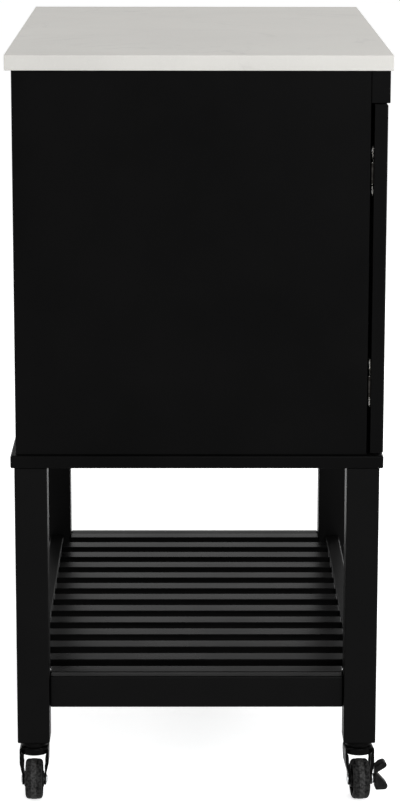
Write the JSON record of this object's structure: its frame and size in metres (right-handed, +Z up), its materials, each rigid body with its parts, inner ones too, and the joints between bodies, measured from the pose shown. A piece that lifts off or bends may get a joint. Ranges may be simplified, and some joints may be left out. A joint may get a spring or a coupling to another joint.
{
  "type": "kitchen cart",
  "caption": "Rolling kitchen cart: a two-door cabinet under a stone-look worktop, on square legs with a slatted open shelf and swivel casters, the front ones with brake pedals.",
  "frame": {"origin": "middle of the object's whole box, on the floor", "axes": "+Z up, +X along the cart's length, the doors face -Y"},
  "size_m": [0.7559, 0.4702, 0.9144],
  "materials": {
    "stone_top": "honed warm-white engineered stone with a faint grey vein",
    "black_paint": "satin black paint on wood and board",
    "knob_metal": "satin nickel",
    "hinge_steel": "nickel-plated pressed steel",
    "black_steel": "black coated pressed steel",
    "axle_steel": "zinc-plated steel",
    "wheel_plastic": "moulded black plastic",
    "tread_rubber": "matte dark rubber"
  },
  "bodies": {
    "cart": {"worktop": "stone_top", "base_board": "black_paint", "side_panel_left": "black_paint", "side_panel_right": "black_paint", "back_panel": "black_paint", "header_rail": "black_paint", "inner_shelf": "black_paint", "shelf_pins": "hinge_steel", "leg_front_left": "black_paint", "leg_back_left": "black_paint", "leg_front_right": "black_paint", "leg_back_right": "black_paint", "front_rail": "black_paint", "back_rail": "black_paint", "left_end_rail": "black_paint", "right_end_rail": "black_paint", "slat_01": "black_paint", "slat_02": "black_paint", "slat_03": "black_paint", "slat_04": "black_paint", "slat_05": "black_paint", "slat_06": "black_paint", "slat_07": "black_paint", "slat_08": "black_paint", "slat_09": "black_paint", "slat_10": "black_paint", "slat_11": "black_paint", "slat_12": "black_paint", "slat_13": "black_paint", "hinge_arms": "hinge_steel", "hinge_plates": "hinge_steel", "plate_screws": "hinge_steel", "caster_stems": "black_steel"},
    "door_left": {"door_left": "black_paint", "knob_left": "knob_metal", "hinge_bosses_left": "hinge_steel", "hinge_screws_left": "hinge_steel"},
    "door_right": {"door_right": "black_paint", "knob_right": "knob_metal", "hinge_bosses_right": "hinge_steel", "hinge_screws_right": "hinge_steel"},
    "swivel_front_left": {"fork_front_left": "black_steel", "axle_front_left": "axle_steel"},
    "wheel_front_left": {"hub_front_left": "wheel_plastic", "tread_front_left": "tread_rubber"},
    "pedal_front_left": {"brake_pedal_front_left": "wheel_plastic"},
    "swivel_back_left": {"fork_back_left": "black_steel", "axle_back_left": "axle_steel"},
    "wheel_back_left": {"hub_back_left": "wheel_plastic", "tread_back_left": "tread_rubber"},
    "swivel_front_right": {"fork_front_right": "black_steel", "axle_front_right": "axle_steel"},
    "wheel_front_right": {"hub_front_right": "wheel_plastic", "tread_front_right": "tread_rubber"},
    "pedal_front_right": {"brake_pedal_front_right": "wheel_plastic"},
    "swivel_back_right": {"fork_back_right": "black_steel", "axle_back_right": "axle_steel"},
    "wheel_back_right": {"hub_back_right": "wheel_plastic", "tread_back_right": "tread_rubber"}
  },
  "joints": [
    {"name": "door_left_hinge", "type": "hinge", "parent": "cart", "child": "door_left", "pos_m": [-0.3559, -0.19525, 0.64715], "axis": [0, 0, -1], "range_deg": [0, 100]},
    {"name": "door_right_hinge", "type": "hinge", "parent": "cart", "child": "door_right", "pos_m": [0.3559, -0.19525, 0.64715], "axis": [0, 0, 1], "range_deg": [0, 100]},
    {"name": "swivel_front_left_turn", "type": "hinge", "parent": "cart", "child": "swivel_front_left", "pos_m": [-0.3384, -0.18945, 0.0644], "axis": [0, 0, 1], "continuous": true},
    {"name": "wheel_front_left_roll", "type": "hinge", "parent": "swivel_front_left", "child": "wheel_front_left", "pos_m": [-0.35235, -0.19067, 0.025], "axis": [-0.0872, 0.9962, 0], "continuous": true},
    {"name": "pedal_front_left_rock", "type": "hinge", "parent": "swivel_front_left", "child": "pedal_front_left", "pos_m": [-0.35235, -0.19067, 0.025], "axis": [-0.0872, 0.9962, 0], "range_deg": [0, 28]},
    {"name": "swivel_back_left_turn", "type": "hinge", "parent": "cart", "child": "swivel_back_left", "pos_m": [-0.3384, 0.20985, 0.0644], "axis": [0, 0, 1], "continuous": true},
    {"name": "wheel_back_left_roll", "type": "hinge", "parent": "swivel_back_left", "child": "wheel_back_left", "pos_m": [-0.3524, 0.20985, 0.025], "axis": [0, 1, 0], "continuous": true},
    {"name": "swivel_front_right_turn", "type": "hinge", "parent": "cart", "child": "swivel_front_right", "pos_m": [0.3384, -0.18945, 0.0644], "axis": [0, 0, 1], "continuous": true},
    {"name": "wheel_front_right_roll", "type": "hinge", "parent": "swivel_front_right", "child": "wheel_front_right", "pos_m": [0.3523, -0.19116, 0.025], "axis": [-0.1219, -0.9925, 0], "continuous": true},
    {"name": "pedal_front_right_rock", "type": "hinge", "parent": "swivel_front_right", "child": "pedal_front_right", "pos_m": [0.3523, -0.19116, 0.025], "axis": [-0.1219, -0.9925, 0], "range_deg": [0, 28]},
    {"name": "swivel_back_right_turn", "type": "hinge", "parent": "cart", "child": "swivel_back_right", "pos_m": [0.3384, 0.20985, 0.0644], "axis": [0, 0, 1], "continuous": true},
    {"name": "wheel_back_right_roll", "type": "hinge", "parent": "swivel_back_right", "child": "wheel_back_right", "pos_m": [0.35232, 0.20839, 0.025], "axis": [-0.1045, -0.9945, 0], "continuous": true}
  ]
}
